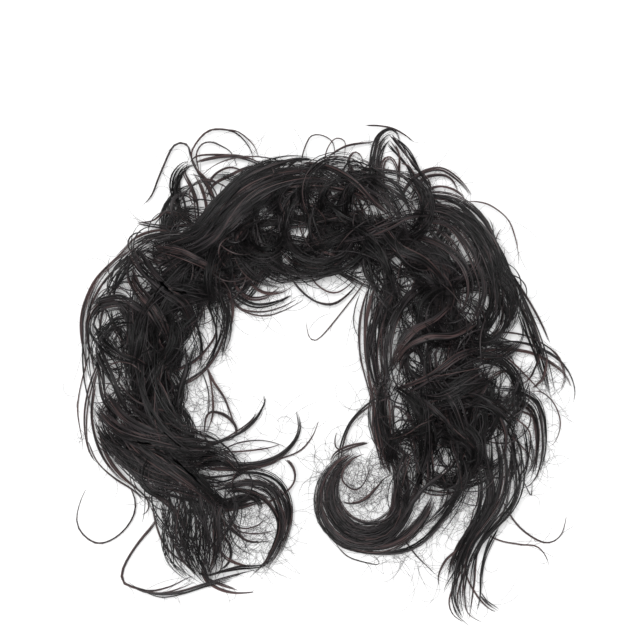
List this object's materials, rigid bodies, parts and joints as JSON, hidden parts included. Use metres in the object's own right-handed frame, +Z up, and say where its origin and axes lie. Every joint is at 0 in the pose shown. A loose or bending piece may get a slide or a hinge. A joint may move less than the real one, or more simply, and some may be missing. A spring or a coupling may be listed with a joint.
{
  "type": "wrap-round curly hairpiece for a top knot",
  "caption": "Curly dark hairpiece on a bendable cord, lying open as a C, wound round a bun to make a fuller top knot.",
  "frame": {"origin": "on the table, below the middle of the piece's box", "axes": "+Z up from the table, -Y out of the open side of the C, +X towards the arm with the thick ring curl"},
  "size_m": [0.313, 0.3026, 0.0481],
  "materials": {
    "cord_cover": "matte braided cover",
    "dark_hair": "soft sheen of synthetic hair, black brown"
  },
  "bodies": {
    "root": {"core_cord": "cord_cover", "hair_left": "dark_hair", "hair_crown": "dark_hair", "hair_right": "dark_hair"}
  },
  "joints": []
}
